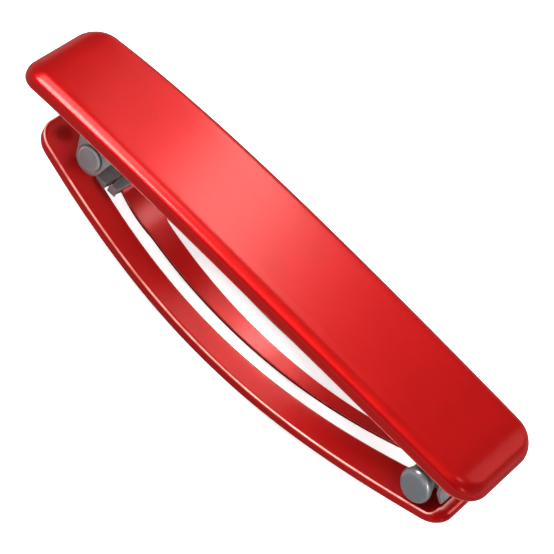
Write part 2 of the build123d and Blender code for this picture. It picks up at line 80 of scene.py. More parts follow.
FRAME_LOW, FRAME_HIGH = box_mm("lower_frame")
FRAME_THICKNESS = 1.45
FRAME_CORNER = 2.6
FRAME_START_ROUND = 0.35
FRAME_TERMS = (1.47, -0.86, 11.47, 0.0, -1.73)
SLOT_START, SLOT_END = -24.95, 36.0
SLOT_WIDTH_TERMS = (4.5, -0.6, -2.0)
SLOT_CORNER = 0.8
# The frame's section as (inset, depth, marking): its sides, its nose at the catch (inset and depth only,
# marked as the sides are), and the slot's lip from the underside up. The marking is rubbing plus a painted
# highlight line along the top edge of the crease and of the slot.
FRAME_SIDE = (
    (0.6, 0, 0), (0.3, 0, 0), (0.18, 0.02, 1), (0.07, 0.09, 1), (0.015, 0.2, 0.1), (0, 0.36, 0),
    (0, 0.9, 0), (0, 1.23, 0), (0.03, 1.35, 0.1), (0.1, 1.42, 0), (0.3, FRAME_THICKNESS, 0),
)
FRAME_NOSE = (
    (2.0, 0), (1.72, 0), (1.6, 0.03), (1.48, 0.1), (1.2, 0.2), (0.8, 0.36),
    (0.3, 0.66), (0.0, 0.98), (-0.1, 1.26), (0.0, 1.42), (0.4, FRAME_THICKNESS),
)
SLOT_LIP = (
    (0.4, FRAME_THICKNESS, 0), (0.15, 1.42, 0.1), (0.03, 1.3, 0.1), (0, 1.1, 0),
    (0, 0.3, 0), (0.03, 0.12, 0.3), (0.12, 0.02, 0.4), (0.35, 0, 0),
)

SPRING_LOW, SPRING_HIGH = box_mm("tension_spring")
SPRING_THICKNESS = 0.5
SPRING_EDGE = 0.14
SPRING_TERMS = (0.5, -1.06, 13.87)
SPRING_LIFT, SPRING_NECK = 0.018, -15.0
SPRING_LEVEL_END = -21.4
SPRING_ROOT_TOP = 6.2
SPRING_ROOT_HALF_WIDTH = SPRING_HIGH.y
SPRING_WIDTH_TERMS = (1.55, -0.87)
SPRING_TIP_ROUND = 1.0

PIN = Vector(next(j["pos_m"] for j in frame["joints"] if j["name"] == "frame_hinge")) / MM
PIN_HIGH = box_mm("hinge_pin")[1]
PIN_RADIUS = 1.0
PIN_HEAD_RADIUS = PIN_HIGH.x - PIN.x
# (depth, radius) pairs from the middle of the head to the pin, and the low dome over the head's middle.
PIN_HEAD = (
    (0.0, 0.02), (0.0, 0.8), (0.0, 1.2), (0.02, 1.38), (0.0, 1.46), (0.005, 1.56), (0.05, 1.68),
    (0.13, 1.76), (0.22, PIN_HEAD_RADIUS), (0.35, PIN_HEAD_RADIUS), (0.36, PIN_RADIUS),
)
PIN_DOME_RADIUS, PIN_DOME_DEPTH = 1.46, 0.06

BRACKET_LOW, BRACKET_HIGH = box_mm("hinge_bracket")
BRACKET_GAP = 0.67  # from the inside of the cover's top down to both brackets
LUG_OUTER = BRACKET_HIGH.y
LUG_SHEET = 0.9
LUG_ROUND, LUG_DROP, LUG_FLARE = 2.2, 0.6, math.radians(15)
# A lug's rings from the pressed ring round the pin over the edge to the back: whether the size is a radius
# round the pin or an inset from the outline, that size, the depth under the outer face, and the marking,
# which paints light highlights on the pressed ring and the front edge on top of rubbing.
LUG_RINGS = (
    ("radius", PIN_RADIUS, 0.1, 0), ("radius", 1.86, 0.1, 0), ("radius", 1.93, 0.1, 0),
    ("radius", 2.0, 0.03, 0.3), ("radius", 2.06, 0.0, 0.5),
    ("inset", 0.28, 0.0, 0), ("inset", 0.16, 0.015, 0.6), ("inset", 0.06, 0.06, 1),
    ("inset", 0.01, 0.15, 0.5), ("inset", 0, 0.28, 0),
    ("inset", 0, LUG_SHEET - 0.2, 0), ("inset", 0.06, LUG_SHEET - 0.06, 0.2), ("inset", 0.2, LUG_SHEET, 0),
    ("radius", PIN_RADIUS + 0.3, LUG_SHEET, 0), ("radius", PIN_RADIUS, LUG_SHEET, 0),
)

BAR_BOTTOM = 5.45
BAR_EDGE, BAR_END = 0.1, 0.22

CAP_LOW, CAP_HIGH = box_mm("front_button_cap")
CAP_X, CAP_Z = (CAP_LOW.x + CAP_HIGH.x) / 2, (CAP_LOW.z + CAP_HIGH.z) / 2
CAP_RADIUS = (CAP_HIGH.x - CAP_LOW.x) / 2
CAP_DEPTH, CAP_BACK_RADIUS = 1.2, 2.3
# (depth, radius) pairs from the middle of the face to the back of the cap.
CAP_FACE = (
    (0.0, 0.02), (0.005, 0.6), (0.02, 1.1), (0.045, 1.45), (0.08, 1.65), (0.15, 1.85), (0.27, 2.05),
    (0.42, 2.21), (0.6, 2.34), (0.8, CAP_RADIUS), (0.95, 2.4), (1.1, 2.36), (CAP_DEPTH, CAP_BACK_RADIUS),
)
CAP_OVAL, CAP_OVAL_ANGLE = 0.07, math.radians(-60)
CAP_RUB_HIGHLIGHT_FROM_Y = 8.3
STEM_Z, NECK_RADIUS = 11.55, 1.9

TONGUE_X, TONGUE_SHEET, TONGUE_HALF_WIDTH = 34.95, 0.6, 6.3
TONGUE_TIP_X, TONGUE_GAP = 36.6, 0.4
CATCH_SHEET = 0.7
CHEEK_INNER, CHEEK_OUTER = 3.7, 4.6
CHEEK_BOTTOM, CHEEK_END = 9.2, 35.0
CHEEK_BOTTOM_START, CHEEK_TOP_START = 30.9, 30.5

# The coil has its pressed length, so that it stays between the latches when both buttons are in.
COIL_HALF_LENGTH, COIL_RADIUS, COIL_WIRE_RADIUS, COIL_TURNS = 2.9, 0.7, 0.1, 8


def series(terms, share):
    return sum(term * share**power for power, term in enumerate(terms))


def unit(t):
    return min(1.0, max(0.0, t))


def smooth(t):
    t = unit(t)
    return t * t * (3 - 2 * t)


def mix(a, b, t):
    return a + (b - a) * t


def cover_top(x):
    return series(COVER_TOP_TERMS, x / HALF_LENGTH)


def cover_half_width(x):
    return series(COVER_WIDTH_TERMS, x / HALF_LENGTH)


def cover_skin(x):
    """Height of the cover's top with its rolled ends, before the edges are rounded."""
    at_hinge = x < 0
    start = HINGE_ROLL_START if at_hinge else CATCH_ROLL_START
    radius = HINGE_ROLL_RADIUS if at_hinge else CATCH_ROLL_RADIUS
    reach = max(0.0, abs(x) - start)
    return cover_top(x) - radius + math.sqrt(radius**2 - reach**2)


def bracket_top(x):
    return cover_top(x) - COVER_WALL - BRACKET_GAP


def frame_top(x):
    return series(FRAME_TERMS, x / HALF_LENGTH)


def slot_half_width(x):
    return series(SLOT_WIDTH_TERMS, x / HALF_LENGTH)


def spring_curve(x):
    return series(SPRING_TERMS, x / HALF_LENGTH) + SPRING_LIFT * max(0.0, SPRING_NECK - x) ** 2


def neck_share(x):
    """0 where the spring leaves its clamp, 1 at its neck and beyond."""
    return unit((x - SPRING_LEVEL_END) / (SPRING_NECK - SPRING_LEVEL_END))


def spring_top(x):
    """Level under the clamp, then the bowed curve, with its offset at the clamp fading out."""
    if x <= SPRING_LEVEL_END:
        return SPRING_ROOT_TOP
    offset = SPRING_ROOT_TOP - spring_curve(SPRING_LEVEL_END)
    return spring_curve(x) + offset * (1 - neck_share(x)) ** 2


def spring_half_width(x):
    return mix(SPRING_ROOT_HALF_WIDTH, series(SPRING_WIDTH_TERMS, x / HALF_LENGTH), neck_share(x))


# ---------------------------------------------------------------- mesh helpers
def new_object(name, verts, faces, material, wear_and_highlight=None):
    """Smooth mesh object from points in millimetres. wear_and_highlight is one number per point, 1 for an
    edge with rubbing and a painted highlight line.
    """
    mesh = bpy.data.meshes.new(name)
    mesh.from_pydata([Vector(v) * MM for v in verts], [], faces)
    mesh.validate()
    mesh.shade_smooth()
    rubbed_and_highlit = mesh.attributes.new("wear_and_highlight", "FLOAT", "POINT")
    rubbed_and_highlit.data.foreach_set("value", wear_and_highlight or [0.0] * len(verts))
    mesh.materials.append(material)
    obj = bpy.data.objects.new(name, mesh)
    bpy.context.scene.collection.objects.link(obj)
    return obj


def even_normals(obj):
    """Large faces keep their own direction beside narrow rounded edges."""
    weighted = obj.modifiers.new("normals", "WEIGHTED_NORMAL")
    weighted.keep_sharp = True
    return obj


def bevelled(obj, width):
    modifier = obj.modifiers.new("bevel", "BEVEL")
    modifier.width = width * MM
    modifier.segments = 3
    modifier.limit_method = "ANGLE"
    modifier.angle_limit = math.radians(35)
    return even_normals(obj)


def place(obj, body, slot, *nodes):
    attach(obj, body)
    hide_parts(*nodes)
    return obj


def bridge(row_count, row_length, closed_rows=False):
    """Quads between rows of points, each row a closed ring; closed_rows joins the last row to the first."""
    faces = []
    for i in range(row_count if closed_rows else row_count - 1):
        row, following = i * row_length, (i + 1) % row_count * row_length
        for j in range(row_length):
            k = (j + 1) % row_length
            faces.append((row + j, row + k, following + k, following + j))
    return faces


def end_caps(row_count, row_length):
    last = (row_count - 1) * row_length
    return [tuple(range(row_length))[::-1], tuple(range(last, last + row_length))]


def flipped(faces):
    return [face[::-1] for face in faces]


def slab(profile, y_from, y_to):
    """Prism of an XZ outline, anticlockwise seen from the front, between two Y planes."""
    count = len(profile)
    verts = [(x, y_from, z) for x, z in profile] + [(x, y_to, z) for x, z in profile]
    faces = [tuple(range(count)), tuple(range(count, 2 * count))[::-1]]
    for i in range(count):
        k = (i + 1) % count
        faces.append((i, count + i, count + k, k))
    return verts, faces


def joined(parts):
    """One list each of points, faces and edge marks (rubbing and painted highlight) from several."""
    verts, faces, wear_and_highlight = [], [], []
    for part_verts, part_faces, part_wear in parts:
        base = len(verts)
        verts += part_verts
        faces += [tuple(base + i for i in face) for face in part_faces]
        wear_and_highlight += part_wear
    return verts, faces, wear_and_highlight


def rounded_outline(side_y, start, end, radii, side_count, corner_count, end_count):
    """Closed outline seen from above, anticlockwise: front side, catch end, rear side, hinge end."""
    points = []

    def centre(x_sign, y_sign):
        radius = radii[(x_sign, y_sign)]
        x = (end if x_sign > 0 else start) - x_sign * radius
        return x, y_sign * (side_y(x) - radius)

    def side(y_sign, x_from, x_to):
        for i in range(side_count):
            x = mix(x_from, x_to, i / side_count)
            points.append((x, y_sign * side_y(x)))

    def corner(x_sign, y_sign, from_angle):
        x, y = centre(x_sign, y_sign)
        radius = radii[(x_sign, y_sign)]
        for i in range(corner_count):
            angle = from_angle + math.pi / 2 * i / corner_count
            points.append((x + radius * math.cos(angle), y + radius * math.sin(angle)))

    def straight(x, y_from, y_to):
        for i in range(end_count):
            points.append((x, mix(y_from, y_to, i / end_count)))

    side(-1, centre(-1, -1)[0], centre(1, -1)[0])
    corner(1, -1, -math.pi / 2)
    straight(end, centre(1, -1)[1], centre(1, 1)[1])
    corner(1, 1, 0)
    side(1, centre(1, 1)[0], centre(-1, 1)[0])
    corner(-1, 1, math.pi / 2)
    straight(start, centre(-1, 1)[1], centre(-1, -1)[1])
    corner(-1, -1, math.pi)
    return points


def outline_normals(points):
    """Unit vectors that point out of an anticlockwise outline."""
    normals = []
    for i, _ in enumerate(points):
        before, after = points[i - 1], points[(i + 1) % len(points)]
        along = Vector((after[0] - before[0], after[1] - before[1]))
        normals.append((along.y / along.length, -along.x / along.length))
    return normals


def bezier(controls, count):
    points = []
    for i in range(count):
        t = i / (count - 1)
        weights = ((1 - t) ** 3, 3 * t * (1 - t) ** 2, 3 * t * t * (1 - t), t**3)
        points.append(tuple(sum(w * p[axis] for w, p in zip(weights, controls)) for axis in (0, 1)))
    return points


# ---------------------------------------------------------------- materials
# Colours laid on the marked edges: partly rubbing through the finish, partly painted highlight lines.
WORN_AND_HIGHLIT_LACQUER = (0.95, 0.36, 0.32)
WORN_AND_HIGHLIT_STEEL = (0.62, 0.63, 0.64)
FLAKES_PER_METRE = 8000.0


def new_material(name):
    material = bpy.data.materials.new(name)
    material.use_nodes = True
    tree = material.node_tree
    return material, tree, tree.nodes["Principled BSDF"]


def noise(tree, scale, detail=3.0, stretch=None):
    """Noise in the object's own coordinates; scale is in features per metre."""
    coords = tree.nodes.new("ShaderNodeTexCoord")
    node = tree.nodes.new("ShaderNodeTexNoise")
    node.inputs["Scale"].default_value = scale
    node.inputs["Detail"].default_value = detail
    source = coords.outputs["Object"]
    if stretch:
        mapping = tree.nodes.new("ShaderNodeMapping")
        mapping.inputs["Scale"].default_value = stretch
        tree.links.new(source, mapping.inputs["Vector"])
        source = mapping.outputs["Vector"]
    tree.links.new(source, node.inputs["Vector"])
    return node.outputs["Fac"]


def ramp(tree, source, stops):
    """Colour ramp from (position, colour) pairs; a single number stands for a grey."""
    node = tree.nodes.new("ShaderNodeValToRGB")
    elements = node.color_ramp.elements
    while len(elements) < len(stops):
        elements.new(0.5)
    for element, (position, color) in zip(elements, stops):
        element.position = position
        element.color = (color, color, color, 1.0) if isinstance(color, float) else (*color, 1.0)
    tree.links.new(source, node.inputs["Fac"])
    return node.outputs["Color"]


def blend_colors(tree, factor, first, second, mode="MIX"):
    node = tree.nodes.new("ShaderNodeMix")
    node.data_type = "RGBA"
    node.blend_type = mode
    for key, value in (("Factor", factor), ("A", first), ("B", second)):
        socket = node.inputs[key]
        if hasattr(value, "is_output"):
            tree.links.new(value, socket)
        elif isinstance(value, float):
            socket.default_value = value
        else:
            socket.default_value = (*value, 1.0)
    return node.outputs["Result"]


def bump(tree, shader, height, strength, distance):
    node = tree.nodes.new("ShaderNodeBump")
    node.inputs["Strength"].default_value = strength
    node.inputs["Distance"].default_value = distance
    tree.links.new(height, node.inputs["Height"])
    tree.links.new(node.outputs["Normal"], shader.inputs["Normal"])


def wear_and_highlight_share(tree, scale, stops):
    """The mesh's marks for rubbing and painted edge highlights, broken up by noise."""
    wear_and_highlight = tree.nodes.new("ShaderNodeAttribute")
    wear_and_highlight.attribute_name = "wear_and_highlight"
    patches = ramp(tree, noise(tree, scale), stops)
    return blend_colors(tree, 1.0, wear_and_highlight.outputs["Color"], patches, "MULTIPLY")


def uneven_roughness(tree, shader, pattern, rough):
    spread = ramp(tree, pattern, [(0.3, rough - 0.03), (0.7, rough + 0.04)])
    tree.links.new(spread, shader.inputs["Roughness"])


def red_lacquer(name, deep, bright, rough, metallic):
    """Metallic lacquer: flakes in the colour coat, a clear coat over it, and marked edges with rubbing and
    painted highlight lines.
    """
    material, tree, shader = new_material(name)
    coords = tree.nodes.new("ShaderNodeTexCoord")
    flakes = tree.nodes.new("ShaderNodeTexVoronoi")
    flakes.inputs["Scale"].default_value = FLAKES_PER_METRE
    tree.links.new(coords.outputs["Object"], flakes.inputs["Vector"])
    flake_height = ramp(tree, flakes.outputs["Color"], [(0.0, 0.0), (1.0, 1.0)])
    flake_share = ramp(tree, flakes.outputs["Color"], [(0.82, 0.0), (1.0, 0.35)])
    flake_color = tuple(min(1.0, c * 1.25 + 0.004) for c in bright)
    depth = ramp(tree, noise(tree, 90.0), [(0.3, deep), (0.7, bright)])
    color = blend_colors(tree, flake_share, depth, flake_color)
    # Marked edges turn a light, less metallic pink: a painted highlight line along each edge, on top of
    # rubbing.
    worn_and_highlit = wear_and_highlight_share(tree, 500.0, [(0.35, 0.55), (0.6, 1.0)])
    tree.links.new(blend_colors(tree, worn_and_highlit, color, WORN_AND_HIGHLIT_LACQUER), shader.inputs["Base Color"])
    tree.links.new(ramp(tree, worn_and_highlit, [(0.0, metallic), (1.0, 0.15)]), shader.inputs["Metallic"])
    uneven_roughness(tree, shader, noise(tree, 420.0, 5.0), rough)
    shader.inputs["Specular IOR Level"].default_value = 0.0
    shader.inputs["Coat Weight"].default_value = 0.6
    shader.inputs["Coat Roughness"].default_value = 0.17
    shader.inputs["Coat IOR"].default_value = 1.5
    bump(tree, shader, flake_height, 0.05, 0.00002)
    return material


def satin_steel(name, dark, light, rough, grain=(1.0, 1.0, 1.0), scale=1800.0):
    """Nickel-plated sheet with a fine grain and faint stains."""
    material, tree, shader = new_material(name)
    color = ramp(tree, noise(tree, 260.0, 4.0), [(0.3, dark), (0.7, light)])
    # Marked edges and rims turn a lighter grey: a painted highlight, on top of rubbing of the plating.
    worn_and_highlit = wear_and_highlight_share(tree, 700.0, [(0.35, 0.1), (0.65, 0.8)])
    tree.links.new(blend_colors(tree, worn_and_highlit, color, WORN_AND_HIGHLIT_STEEL), shader.inputs["Base Color"])
    shader.inputs["Metallic"].default_value = 0.7
    brushed = noise(tree, scale, 4.0, grain)
    uneven_roughness(tree, shader, brushed, rough)
    bump(tree, shader, brushed, 0.03, 0.00001)
    return material


cover_red = red_lacquer("cover_red", (0.58, 0.005, 0.005), (0.62, 0.006, 0.006), 0.35, 0.8)
frame_red = red_lacquer("frame_red", (0.52, 0.004, 0.004), (0.62, 0.005, 0.005), 0.36, 0.78)
nickel = satin_steel("nickel", (0.25, 0.262, 0.28), (0.32, 0.332, 0.35), 0.36)
button_nickel = satin_steel(
    "button_nickel", (0.19, 0.205, 0.225), (0.22, 0.235, 0.255), 0.3, scale=700.0
)
# The clamp bars get a lighter copy of the nickel: painted light that makes up for the shade the cover casts
# on them.
bar_nickel_painted_light = satin_steel("bar_nickel_painted_light", (0.42, 0.44, 0.46), (0.5, 0.52, 0.54), 0.36)
zinc = satin_steel("zinc", (0.62, 0.62, 0.62), (0.7, 0.7, 0.68), 0.45, (0.15, 1.0, 1.0))
wire = satin_steel("spring_wire", (0.5, 0.5, 0.51), (0.6, 0.6, 0.61), 0.25)


# ---------------------------------------------------------------- cover
def make_cover():
    """Shell of closed rings: from the middle line on the inside, round the rim, back to it on the top."""
    outline = rounded_outline(cover_half_width, -HALF_LENGTH, HALF_LENGTH, COVER_CORNERS, 96, 16, 8)
    normals = outline_normals(outline)
    spine_reach = HALF_LENGTH - cover_half_width(HALF_LENGTH)
    verts, wear_and_highlight = [], []

    def ring(insets, level, rub_and_highlight=0.0, centring=0.0):
        """The outline moved in by the front and rear insets, and by centring towards the middle line."""
        for (px, py), (nx, ny) in zip(outline, normals):
            rear = smooth((ny + 1) / 2)
            inset = mix(*insets, rear)
            x, y = px - nx * inset, py - ny * inset
            spine_x = max(-spine_reach, min(spine_reach, x))
            x, y = mix(x, spine_x, centring), mix(y, 0.0, centring)
            verts.append((x, y, level(x, rear)))
            wear_and_highlight.append(rub_and_highlight)

    def rim(x):
        return cover_top(x) - COVER_DEPTH

    shares = [i / 6 for i in range(1, 6)]
    inner_inset = COVER_INNER_CORNER[0][0]
    for share in [1.0] + shares[::-1]:
        ring((inner_inset, inner_inset), lambda x, rear: cover_skin(x) - COVER_WALL, 0.0, share)
    for inset, fall in COVER_INNER_CORNER:
        ring((inset, inset), lambda x, rear: cover_skin(x) - COVER_WALL - fall)
    # The bead round the rim is marked, which paints a thin light highlight line along the rim on top of
    # rubbing.
    for step in range(5):
        angle = math.pi / 2 * step / 4
        inset = COVER_WALL - COVER_BEAD * (1 - math.cos(angle))
        ring((inset, inset), lambda x, rear: rim(x) + COVER_BEAD * (1 - math.sin(angle)), 0.4)
    for step in range(5):
        angle = math.pi / 2 * (1 - step / 4)
        inset = COVER_BEAD * (1 - math.cos(angle))
        ring((inset, inset), lambda x, rear: rim(x) + COVER_BEAD * (1 - math.sin(angle)), 0.5)
    # An unmarked ring just above the bead keeps the bead's painted highlight and rubbing from fading up the
    # side.
    ring((0, 0), lambda x, rear: rim(x) + COVER_BEAD + 0.08)
    for step in range(13):
        angle = math.pi / 2 * (1 - step / 12)

        def edge_level(x, rear):
            drop = mix(*COVER_EDGE_DOWN, rear) * (1 - math.cos(angle))
            return max(cover_skin(x) - drop, rim(x) + COVER_BEAD + 0.1)

        ring([across * (1 - math.sin(angle)) for across in COVER_EDGE_ACROSS], edge_level)
    for share in shares + [1.0]:
        ring(COVER_EDGE_ACROSS, lambda x, rear: cover_skin(x), 0.0, share)
    faces = bridge(len(verts) // len(outline), len(outline))
    shell = new_object("cover_shell", verts, faces, cover_red, wear_and_highlight)
    shell.modifiers.new("weld", "WELD").merge_threshold = 0.00001
    return shell


cover_shell = place(make_cover(), "cover", "red_cover", "top_cover")


# ---------------------------------------------------------------- frame
def make_frame():
    """Slotted plate: at each point of the outline a closed section that runs to the slot and back."""
    start, end = FRAME_LOW.x - FRAME_START_ROUND, FRAME_HIGH.x
    counts = (110, 14, 10)
    corners = {key: FRAME_CORNER for key in COVER_CORNERS}
    slot_corners = {key: SLOT_CORNER for key in COVER_CORNERS}
    outer = rounded_outline(lambda x: FRAME_HIGH.y, start, end, corners, *counts)
    slot = rounded_outline(slot_half_width, SLOT_START, SLOT_END, slot_corners, *counts)
    flat_shares = (0.25, 0.5, 0.75)
    flat_unmarked = [0] * len(flat_shares)
    # The rows' marks: painted highlight lines along the crease and the slot edges, on top of rubbing.
    rubs_and_highlights = [rub_and_highlight for *_, rub_and_highlight in FRAME_SIDE] + flat_unmarked + [rub_and_highlight for *_, rub_and_highlight in SLOT_LIP] + flat_unmarked
    verts, wear_and_highlight = [], []
    for (ox, oy), (onx, ony), (sx, sy), (snx, sny) in zip(
        outer, outline_normals(outer), slot, outline_normals(slot)
    ):
        rolled = smooth((ox - (end - FRAME_CORNER)) / (FRAME_CORNER * 0.85))
        edge = []
        for (side_inset, side_depth, _), (nose_inset, nose_depth) in zip(FRAME_SIDE, FRAME_NOSE):
            inset = mix(side_inset, nose_inset, rolled)
            edge.append((ox - onx * inset, oy - ony * inset, mix(side_depth, nose_depth, rolled)))
        lip = [(sx + snx * inset, sy + sny * inset, depth) for inset, depth, _ in SLOT_LIP]
        below = [tuple(mix(a, b, t) for a, b in zip(edge[-1], lip[0])) for t in flat_shares]
        above = [tuple(mix(a, b, t) for a, b in zip(lip[-1], edge[0])) for t in flat_shares]
        for (x, y, depth), rub_and_highlight in zip(edge + below + lip + above, rubs_and_highlights):
            verts.append((x, y, frame_top(x) - depth))
            wear_and_highlight.append(float(rub_and_highlight))
    faces = bridge(len(outer), len(rubs_and_highlights), closed_rows=True)
    return new_object("frame_plate", verts, faces, frame_red, wear_and_highlight)


frame_plate = place(even_normals(make_frame()), "frame", "red_frame", "lower_frame")


# ---------------------------------------------------------------- tension spring
def make_spring():
    root, tip = SPRING_LOW.x, SPRING_HIGH.x
    tip_start = tip - SPRING_TIP_ROUND
    stations = [mix(root, SPRING_LEVEL_END, i / 6) for i in range(6)]
    stations += [mix(SPRING_LEVEL_END, tip_start, i / 90) for i in range(90)]
    stations += [tip_start + SPRING_TIP_ROUND * math.sin(math.pi / 2 * i / 8) for i in range(8)]
    stations.append(tip - 0.004)
    # Each point's side, whether it is on the bottom edge, and its direction within the rounded edge.
    section = []
    for side, bottom, first in ((1, False, 90), (1, True, 0), (-1, True, -90), (-1, False, -180)):
        for i in range(5):
            angle = math.radians(first - 90 * i / 4)
            section.append((side, bottom, math.cos(angle), math.sin(angle)))
    verts, wear_and_highlight = [], []
    for x in stations:
        reach = max(0.0, x - tip_start) / SPRING_TIP_ROUND
        half = max(spring_half_width(x) * math.sqrt(max(0.0, 1 - reach**2)), 0.02)
        round_off = min(SPRING_EDGE, half)
        for side, bottom, across, up in section:
            centre_depth = SPRING_THICKNESS - SPRING_EDGE if bottom else SPRING_EDGE
            y = side * (half - round_off) + round_off * across
            verts.append((x, y, spring_top(x) - (centre_depth - SPRING_EDGE * up)))
            # The top edges are marked: a painted highlight line along them, on top of rubbing.
            wear_and_highlight.append(0.6 if abs(across) > 0.5 and up > 0.5 else 0.0)
    shape = (len(stations), len(section))
    faces = bridge(*shape) + flipped(end_caps(*shape))
    return new_object("tension_leaf", verts, faces, frame_red, wear_and_highlight)


tension_leaf = place(even_normals(make_spring()), "frame", "red_frame", "tension_spring")


# ---------------------------------------------------------------- hinge
def lug_outline(top_z, side_count=12):
    """Teardrop seen from the front: a round end below the pin and straight edges leaning out to top_z."""
    centre_z = PIN.z - LUG_DROP
    round_count = 3 * side_count
    points = []
    for i in range(round_count):
        angle = mix(-math.pi, 0.0, i / (round_count - 1))
        points.append((PIN.x + LUG_ROUND * math.cos(angle), centre_z + LUG_ROUND * math.sin(angle)))
    half_top = LUG_ROUND / math.cos(LUG_FLARE) + (top_z - centre_z) * math.tan(LUG_FLARE)
    right, left = (PIN.x + half_top, top_z), (PIN.x - half_top, top_z)
    for (x_from, z_from), (x_to, z_to), first in (
        (points[-1], right, 1), (right, left, 0), (left, points[0], 0)
    ):
        for i in range(first, side_count):
            share = i / side_count
            points.append((mix(x_from, x_to, share), mix(z_from, z_to, share)))
    return points


def make_lug(sign):
    """One lug plate with a pressed ring round the pin."""
    outline = lug_outline(BRACKET_HIGH.z - 0.5)
    normals = outline_normals(outline)
    verts, wear_and_highlight = [], []
    for kind, size, sink, rub_and_highlight in LUG_RINGS:
        for (x, z), (nx, nz) in zip(outline, normals):
            if kind == "radius":
                away = Vector((x - PIN.x, z - PIN.z))
                reach = min(size, away.length - 0.3)
                away.normalize()
                px, pz = PIN.x + away.x * reach, PIN.z + away.y * reach
            else:
                px, pz = x - nx * size, z - nz * size
            verts.append((px, sign * (LUG_OUTER - sink), pz))
            wear_and_highlight.append(float(rub_and_highlight))
    faces = bridge(len(LUG_RINGS), len(outline))
    return verts, flipped(faces) if sign > 0 else faces, wear_and_highlight


def make_hinge():
    web_top = [(x, bracket_top(x)) for x in (BRACKET_LOW.x, PIN.x, BRACKET_HIGH.x)]
    web = [(x, z - LUG_SHEET) for x, z in web_top] + web_top[::-1]
    web_verts, web_faces = slab(web, -LUG_OUTER + 0.05, LUG_OUTER - 0.05)
    parts = [make_lug(-1), make_lug(1), (web_verts, web_faces, [0.0] * len(web_verts))]
    verts, faces, wear_and_highlight = joined(parts)
    return new_object("hinge_lugs", verts, faces, nickel, wear_and_highlight)


hinge_lugs = place(even_normals(make_hinge()), "cover", "grey_steel", "hinge_bracket")


def lathe(profile, centre_x, oval=0.0, sides=72):
    """Capped surface turned about a line along Y. profile holds (y, radius, centre height)."""
    verts = []
    for y, radius, centre_z in profile:
        for i in range(sides):
            angle = 2 * math.pi * i / sides
            reach = radius * (1 + oval * math.cos(2 * (angle - CAP_OVAL_ANGLE)))
            verts.append((centre_x + reach * math.cos(angle), y, centre_z + reach * math.sin(angle)))
    shape = (len(profile), sides)
    return verts, bridge(*shape) + end_caps(*shape)


def distance_in_xz(vert, x, z):
    return Vector((vert[0] - x, vert[2] - z)).length


def make_pin():
    front = []
    for depth, radius in PIN_HEAD:
        dome = PIN_DOME_DEPTH * (1 - min(1, radius / PIN_DOME_RADIUS))
        front.append((-PIN_HIGH.y + depth + dome, radius, PIN.z))
    rear = [(-y, radius, z) for y, radius, z in front[::-1]]
    verts, faces = lathe(front + rear, PIN.x)
    # The rim of each head is marked: a painted highlight ring on top of rubbing.
    wear_and_highlight = [0.8 if 1.5 < distance_in_xz(v, PIN.x, PIN.z) < 1.79 else 0.0 for v in verts]
    return new_object("hinge_pin_heads", verts, flipped(faces), nickel, wear_and_highlight)


hinge_pin_heads = place(even_normals(make_pin()), "cover", "pin_steel", "hinge_pin")


def make_clamp_bar(name, node, reach_start, reach_end):
    """Clamp bar that wraps down round the spring's root, so that its ends close the slot."""
    low, high = box_mm(node)
    low.z = BAR_BOTTOM
    low.x -= reach_start
    high.x += reach_end
    middle, half = (low + high) / 2, (high - low) / 2
    # One rounded end as (y, how far the section is cut down there), then the whole bar.
    rounded_end = [(half.y, 1.0)]
    for degrees in (80, 60, 40, 20, 0):
        angle = math.radians(degrees)
        rounded_end.append((half.y - BAR_END * (1 - math.sin(angle)), math.cos(angle)))
    stations = [(-y, cut) for y, cut in rounded_end]
    stations += [(half.y * share, 0.0) for share in (-0.6, -0.2, 0.2, 0.6)]
    stations += rounded_end[::-1]
    verts, wear_and_highlight = [], []
    for y, cut in stations:
        half_x, half_z = half.x - BAR_END * cut, half.z - BAR_EDGE * 0.7 * cut
        for x_sign, z_sign, first in ((1, 1, 0), (-1, 1, 90), (-1, -1, 180), (1, -1, 270)):
            for i in range(4):
                angle = math.radians(first + 90 * i / 3)
                x = middle.x + x_sign * (half_x - BAR_EDGE) + BAR_EDGE * math.cos(angle)
                z = middle.z + z_sign * (half_z - BAR_EDGE) + BAR_EDGE * math.sin(angle)
                verts.append((x, y, z))
                # The top edges are marked far more than the bottom ones: a painted highlight along the top,
                # on top of rubbing.
                wear_and_highlight.append(0.7 if z_sign > 0 else 0.2)
    shape = (len(stations), 16)
    return new_object(name, verts, flipped(bridge(*shape) + end_caps(*shape)), bar_nickel_painted_light, wear_and_highlight)


for name, node, reach_start, reach_end in (
    ("clamp_strip_a", "clamp_bar_inner", 0.35, 0.2),
    ("clamp_strip_b", "clamp_bar_outer", 0.05, 0.0),
):
    clamp_bar = even_normals(make_clamp_bar(name, node, reach_start, reach_end))
    place(clamp_bar, "frame", "grey_steel", node)


# ---------------------------------------------------------------- catch
def make_button(name, sign):
    """Slightly oval cap, and a neck that narrows and rises from its back to the stem."""
    profile = [(CAP_LOW.y + depth, radius, CAP_Z) for depth, radius in CAP_FACE]
    for share in (0.2, 0.4, 0.6, 0.8, 1.0):
        eased = 1 - (1 - share) ** 1.6
        y = mix(CAP_LOW.y + CAP_DEPTH, CAP_HIGH.y, share)
        profile.append((y, mix(CAP_BACK_RADIUS, NECK_RADIUS, eased), mix(CAP_Z, STEM_Z, eased)))
    verts, faces = lathe([(-sign * y, radius, z) for y, radius, z in profile], CAP_X, CAP_OVAL)
    # A ring round the face's rim is marked: a painted highlight band on top of rubbing.
    wear_and_highlight = []
    for vert in verts:
        rubbed_and_highlit = 2.0 < distance_in_xz(vert, CAP_X, CAP_Z) < 2.36 and abs(vert[1]) > CAP_RUB_HIGHLIGHT_FROM_Y
        wear_and_highlight.append(0.5 if rubbed_and_highlit else 0.0)
    return new_object(name, verts, flipped(faces) if sign < 0 else faces, button_nickel, wear_and_highlight)


